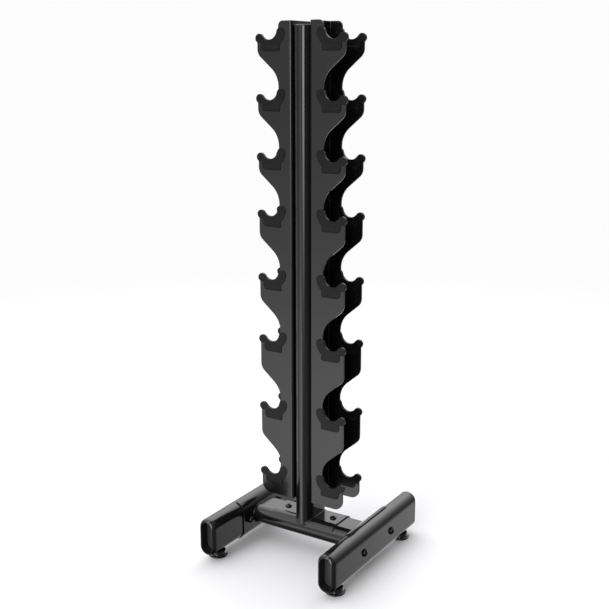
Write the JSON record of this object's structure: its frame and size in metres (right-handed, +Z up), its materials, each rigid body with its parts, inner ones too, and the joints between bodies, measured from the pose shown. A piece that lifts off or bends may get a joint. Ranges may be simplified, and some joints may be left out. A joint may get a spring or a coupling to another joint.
{
  "type": "dumbbell rack",
  "caption": "Free-standing vertical dumbbell rack: an H-shaped tube base and a central post with hooked channel brackets on both sides, each hook lined with a moulded cradle.",
  "frame": {"origin": "on the floor, at the middle of the footprint, straight below the post's middle", "axes": "+Z up along the post; X across the rack, from the left bracket to the right one; Y along the runners, front at -Y"},
  "size_m": [0.4194, 0.439, 1.3435],
  "materials": {
    "frame_paint": "grey powder coat, satin",
    "black_plastic": "moulded, satin",
    "liner_plastic": "moulded, fine grain",
    "foot_rubber": "satin",
    "zinc_steel": "black zinc plated"
  },
  "bodies": {
    "frame": {"left_runner": "frame_paint", "right_runner": "frame_paint", "crossbar": "frame_paint", "left_saddle": "frame_paint", "right_saddle": "frame_paint", "post_saddle": "frame_paint", "post": "frame_paint", "left_bracket": "frame_paint", "right_bracket": "frame_paint", "post_cap": "black_plastic", "runner_screws": "zinc_steel", "runner_washers": "zinc_steel", "runner_nuts": "zinc_steel", "short_screws": "zinc_steel", "rivet_nuts": "zinc_steel", "left_front_cap": "black_plastic", "left_rear_cap": "black_plastic", "right_front_cap": "black_plastic", "right_rear_cap": "black_plastic", "left_front_liner_1": "liner_plastic", "left_front_liner_2": "liner_plastic", "left_front_liner_3": "liner_plastic", "left_front_liner_4": "liner_plastic", "left_front_liner_5": "liner_plastic", "left_front_liner_6": "liner_plastic", "left_front_liner_7": "liner_plastic", "left_front_liner_8": "liner_plastic", "left_rear_liner_1": "liner_plastic", "left_rear_liner_2": "liner_plastic", "left_rear_liner_3": "liner_plastic", "left_rear_liner_4": "liner_plastic", "left_rear_liner_5": "liner_plastic", "left_rear_liner_6": "liner_plastic", "left_rear_liner_7": "liner_plastic", "left_rear_liner_8": "liner_plastic", "right_front_liner_1": "liner_plastic", "right_front_liner_2": "liner_plastic", "right_front_liner_3": "liner_plastic", "right_front_liner_4": "liner_plastic", "right_front_liner_5": "liner_plastic", "right_front_liner_6": "liner_plastic", "right_front_liner_7": "liner_plastic", "right_front_liner_8": "liner_plastic", "right_rear_liner_1": "liner_plastic", "right_rear_liner_2": "liner_plastic", "right_rear_liner_3": "liner_plastic", "right_rear_liner_4": "liner_plastic", "right_rear_liner_5": "liner_plastic", "right_rear_liner_6": "liner_plastic", "right_rear_liner_7": "liner_plastic", "right_rear_liner_8": "liner_plastic"},
    "left_front_foot": {"left_front_foot_base": "foot_rubber", "left_front_foot_stud": "zinc_steel"},
    "left_rear_foot": {"left_rear_foot_base": "foot_rubber", "left_rear_foot_stud": "zinc_steel"},
    "right_front_foot": {"right_front_foot_base": "foot_rubber", "right_front_foot_stud": "zinc_steel"},
    "right_rear_foot": {"right_rear_foot_base": "foot_rubber", "right_rear_foot_stud": "zinc_steel"}
  },
  "joints": [
    {"name": "left_front_foot_slide", "type": "slide", "parent": "frame", "child": "left_front_foot", "axis": [0, 0, 1], "range_m": [-0.012, 0]},
    {"name": "left_rear_foot_slide", "type": "slide", "parent": "frame", "child": "left_rear_foot", "axis": [0, 0, 1], "range_m": [-0.012, 0]},
    {"name": "right_front_foot_slide", "type": "slide", "parent": "frame", "child": "right_front_foot", "axis": [0, 0, 1], "range_m": [-0.012, 0]},
    {"name": "right_rear_foot_slide", "type": "slide", "parent": "frame", "child": "right_rear_foot", "axis": [0, 0, 1], "range_m": [-0.012, 0]}
  ]
}
